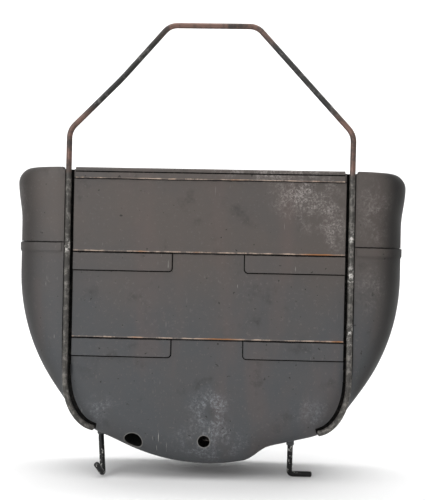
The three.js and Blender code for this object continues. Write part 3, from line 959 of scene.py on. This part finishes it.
def worn_wire_with_glints(name, bright_spots):
    """The wire: rusty brown above the rim, black on the bail's slopes, grey below with bright chips and
    painted glints.
    """
    material, tree, shader = shade(name)
    height = axis_of(tree, "Z")
    patchy = ramp(tree, noise_of(tree, 55, 5, 0.7), 0.40, 0.60)
    brown = mix(tree, patchy, (0.15, 0.085, 0.066), (0.04, 0.032, 0.028))
    sooty = ramp(tree, noise_of(tree, 150, 6, 0.75), 0.52, 0.68)
    black = mix(tree, sooty, (0.020, 0.019, 0.018), (0.13, 0.12, 0.115))
    rubbed = ramp(tree, noise_of(tree, 200, 6, 0.75), 0.46, 0.66)
    grey = mix(tree, rubbed, (0.045, 0.042, 0.038), (0.17, 0.16, 0.145))
    slope = ramp(tree, height, *SLOPE_BEGINS)
    slope = math_of(tree, "MULTIPLY", slope, ramp(tree, height, *SLOPE_ENDS))
    colour = mix(tree, slope, brown, black)
    colour = mix(tree, ramp(tree, height, (RIM + 3) * MM, (RIM - 8) * MM), colour, grey)
    # Bright spots: bare-steel chips, and painted glints where the rods catch the light.
    for centre, reach in bright_spots:
        chip_and_glint_grain = ramp(tree, noise_of(tree, 340, 6, 0.7), 0.50, 0.60)
        bright = math_of(tree, "MULTIPLY", spot(tree, centre, reach), chip_and_glint_grain)
        colour = mix(tree, bright, colour, BARE_STEEL_AND_GLINT)
    tree.links.new(colour, shader.inputs["Base Color"])
    tree.links.new(ramp(tree, patchy, 0, 1, 0.42, 0.62), shader.inputs["Roughness"])
    shader.inputs["Metallic"].default_value = 0.35
    bump(tree, shader, [(noise_of(tree, 160, 5, 0.7), 0.22)])
    return material


def chipped_black(name):
    """The legs: black with pale chips along them."""
    material, tree, shader = shade(name)
    bright_spots = ramp(tree, noise_of(tree, 330, 4, 0.65, stretch=(1, 1, 0.55)), 0.57, 0.64)
    colour = mix(tree, bright_spots, (0.006, 0.006, 0.006), (0.45, 0.44, 0.42))
    shader.inputs["Specular IOR Level"].default_value = 0.25
    tree.links.new(colour, shader.inputs["Base Color"])
    tree.links.new(ramp(tree, bright_spots, 0, 1, 0.38, 0.6), shader.inputs["Roughness"])
    bump(tree, shader, [(bright_spots, -0.12), (noise_of(tree, 500, 3), 0.05)])
    return material


def burnt_steel(name):
    material, tree, shader = shade(name)
    ash = ramp(tree, noise_of(tree, 90, 6, 0.7), 0.5, 0.68)
    scale = ramp(tree, noise_of(tree, 35, 4, 0.6), 0.45, 0.62)
    colour = mix(tree, scale, (0.045, 0.042, 0.04), (0.11, 0.065, 0.045))
    colour = mix(tree, math_of(tree, "MULTIPLY", ash, 0.6), colour, (0.24, 0.23, 0.22))
    tree.links.new(colour, shader.inputs["Base Color"])
    tree.links.new(ramp(tree, ash, 0, 1, 0.62, 0.85), shader.inputs["Roughness"])
    shader.inputs["Metallic"].default_value = 0.3
    bump(tree, shader, [(noise_of(tree, 220, 5, 0.7), 0.2)])
    return material


def dull_zinc(name):
    material, tree, shader = shade(name)
    stain = ramp(tree, noise_of(tree, 200, 5, 0.7), 0.44, 0.66)
    colour = mix(tree, stain, (0.30, 0.29, 0.28), (0.13, 0.09, 0.07))
    tree.links.new(colour, shader.inputs["Base Color"])
    tree.links.new(ramp(tree, stain, 0, 1, 0.35, 0.6), shader.inputs["Roughness"])
    shader.inputs["Metallic"].default_value = 0.8
    bump(tree, shader, [(noise_of(tree, 600, 3), 0.05)])
    return material


def dress(material, slot_name, *objects):
    """Gives the objects their material; cut faces of the pieces made here get the near-black painted shade
    and soot.
    """
    for obj in objects:
        if obj.name not in PIECES:
            obj.data.materials.clear()
            obj.data.materials.append(material)
            continue
        obj.data.materials[0] = material
        if len(obj.data.materials) > 1:
            obj.data.materials[1] = GRIME_AND_SHADE


# ---- Build ----
bowl = make_bowl()
collars = make_collars()
top_course, middle_course = make_courses()
front_hem = make_hem("front_rim_hem_strip", "front_rim_hem", HEM_LOW.y, HEM_HIGH.y)
back_low, back_high = corners("back_rim_hem")
back_hem = make_hem("back_rim_hem_strip", "back_rim_hem", back_high.y, back_low.y)
wire = make_wire()
leg_rods = [make_leg(side) for side in SOCKET]
sockets = [make_socket(side) for side in SOCKET]
small = [make_washer(side) for side in SOCKET] + [make_cap(side) for side in SOCKET]
small += [make_rivet("back_rivet_%s_%d" % (side, row)) for side in ("left", "right") for row in (1, 2)]
grate = make_grate()
back_plate = bevel_cad("back_plate")
rests = [bevel_cad("grate_rest_left"), bevel_cad("grate_rest_right")]

# Near-black painted shade for the grooves, creases and pressed lines, and soot for the inside.
GRIME_AND_SHADE = shade_and_grime("tub_grime_and_shade")
# Painted shadows: in the gap above the bead on the wings, and under the lower seam's lap on the panel.
BEAD_SHADOW = (BEAD_TOP - 0.7, BEAD_TOP + 0.4, "wings")
HEM_EDGE = HEM_LOW.z
plain = painted_steel("tub_paint_plain", shadow_lines=[(SEAM_LOW - 1.5, SEAM_LOW + 0.4, "panel"), BEAD_SHADOW])
dress(plain, "tub_paint", bowl, *collars, back_plate, *sockets)
hem_shadow = (HEM_EDGE - 0.9, HEM_EDGE + 0.5, None)
rust_on_top = (96, -55, SEAM_TOP)
top_paint = painted_steel("tub_paint_top", SEAM_TOP, shadow_lines=[hem_shadow], rusty_spot=rust_on_top)
dress(top_paint, "tub_paint", top_course)
top_shadow = (SEAM_TOP - 1.5, SEAM_TOP + 0.4, None)
rust_on_middle = (12, -55, SEAM_LOW)
middle_paint = painted_steel("tub_paint_middle", SEAM_LOW, shadow_lines=[top_shadow], rusty_spot=rust_on_middle)
dress(middle_paint, "tub_paint", middle_course)
dress(painted_steel("tub_paint_hem", HEM_EDGE, 0.8), "tub_paint", front_hem, back_hem)
# Bright spots on the wire, bare-steel chips and painted glints; those at 203 and 216 mm are painted glints.
bright_spots = [((-ROD_X, -58, 203), 9), ((ROD_X, -58, 216), 8), ((ROD_X, -58, 180), 16), ((ROD_X, -58, 130), 14)]
dress(worn_wire_with_glints("frame_wire_worn_with_glints", bright_spots), "frame_wire", wire)
dress(chipped_black("leg_black"), "leg_wire", *leg_rods)
dress(burnt_steel("grate_burnt"), "grate_steel", *grate, *rests)
dress(dull_zinc("rivet_zinc"), "rivet_steel", *small)


# ---- Stage, camera and light ----
def pale(name, colour):
    material, tree, shader = shade(name)
    soft = noise_of(tree, 3, 2)
    shaded = mix(tree, ramp(tree, soft, 0, 1, 0, 0.02), colour, (0.9, 0.9, 0.9))
    tree.links.new(shaded, shader.inputs["Base Color"])
    shader.inputs["Roughness"].default_value = 0.9
    shader.inputs["Specular IOR Level"].default_value = 0.1
    return material


def make_floor():
    """A pale floor that sweeps up behind the object."""
    near, turn, curve, wall, side = -1500, 700, 900, 3200, 2200
    angles = np.linspace(0.1, math.pi / 2, 14)
    rows = [(near, 0), (turn, 0)]
    rows += [(turn + curve * math.sin(t), curve - curve * math.cos(t)) for t in angles]
    rows += [(turn + curve, wall)]
    verts = [(x, y, z - 0.02) for y, z in rows for x in (-side, side)]
    faces = [(2 * i, 2 * i + 1, 2 * i + 3, 2 * i + 2) for i in range(len(rows) - 1)]
    floor = new_object("floor", verts, faces, 60)
    floor.data.materials.append(pale("floor_pale", (0.93, 0.93, 0.93)))


def area_light(name, place, size, power, aim=(0, 0, 190)):
    data = bpy.data.lights.new(name, "AREA")
    data.shape, data.size, data.size_y, data.energy = "RECTANGLE", size[0] * MM, size[1] * MM, power
    light = bpy.data.objects.new(name, data)
    light.location = Vector(place) * MM
    light.rotation_euler = (Vector(aim) - Vector(place)).to_track_quat("-Z", "Y").to_euler()
    bpy.context.scene.collection.objects.link(light)


def make_world(strength, seen):
    """A white surround: strength is the light that it gives, seen how bright it looks behind the floor."""
    world = bpy.data.worlds.new("studio")
    world.use_nodes = True
    tree = world.node_tree
    background = tree.nodes["Background"]
    background.inputs[0].default_value = (1, 1, 1, 1)
    rays = node(tree, "ShaderNodeLightPath")
    amount = ramp(tree, rays.outputs["Is Camera Ray"], 0.0, 1.0, strength, seen)
    tree.links.new(amount, background.inputs[1])
    bpy.context.scene.world = world


VIEW_DISTANCE = 950.0  # from the camera to the front panel
VIEW_SCALE = 0.87  # millimetres at the front panel to one picture element of the 426 by 500 view
VIEW_HEIGHT = 202.3
VIEW_MIDDLE = 208.6  # where the middle of the front panel stands across the 426 wide view
VIEW_ROLL = math.radians(1.13)
VIEW_TURN = math.radians(2.1)


def make_camera():
    data = bpy.data.cameras.new("camera")
    camera = bpy.data.objects.new("camera", data)
    data.sensor_width = 36.0
    tall, wide = 500, 426
    data.lens = data.sensor_width * VIEW_DISTANCE / (VIEW_SCALE * tall)
    front = Vector((0, -HALF_DEPTH, VIEW_HEIGHT))
    back = Vector((math.sin(VIEW_TURN), -math.cos(VIEW_TURN), 0))
    camera.location = (front + back * VIEW_DISTANCE) * MM
    look = (-back).to_track_quat("-Z", "Y")
    camera.rotation_mode = "QUATERNION"
    camera.rotation_quaternion = look @ Matrix.Rotation(VIEW_ROLL, 4, "Z").to_quaternion()
    data.shift_x = (wide / 2 - VIEW_MIDDLE) / tall
    data.clip_start, data.clip_end = 0.01, 30
    bpy.context.scene.collection.objects.link(camera)
    bpy.context.scene.camera = camera


make_floor()
make_world(0.48, 0.95)
area_light("overhead_light", (0, -300, 1900), (2600, 2600), 34, (0, 0, 0))
area_light("key_light", (-1000, -1500, 800), (900, 900), 15)
area_light("backdrop_light", (0, 500, 1900), (3000, 900), 30, (0, 1500, 500))
make_camera()
bpy.context.scene.view_settings.view_transform = "Standard"
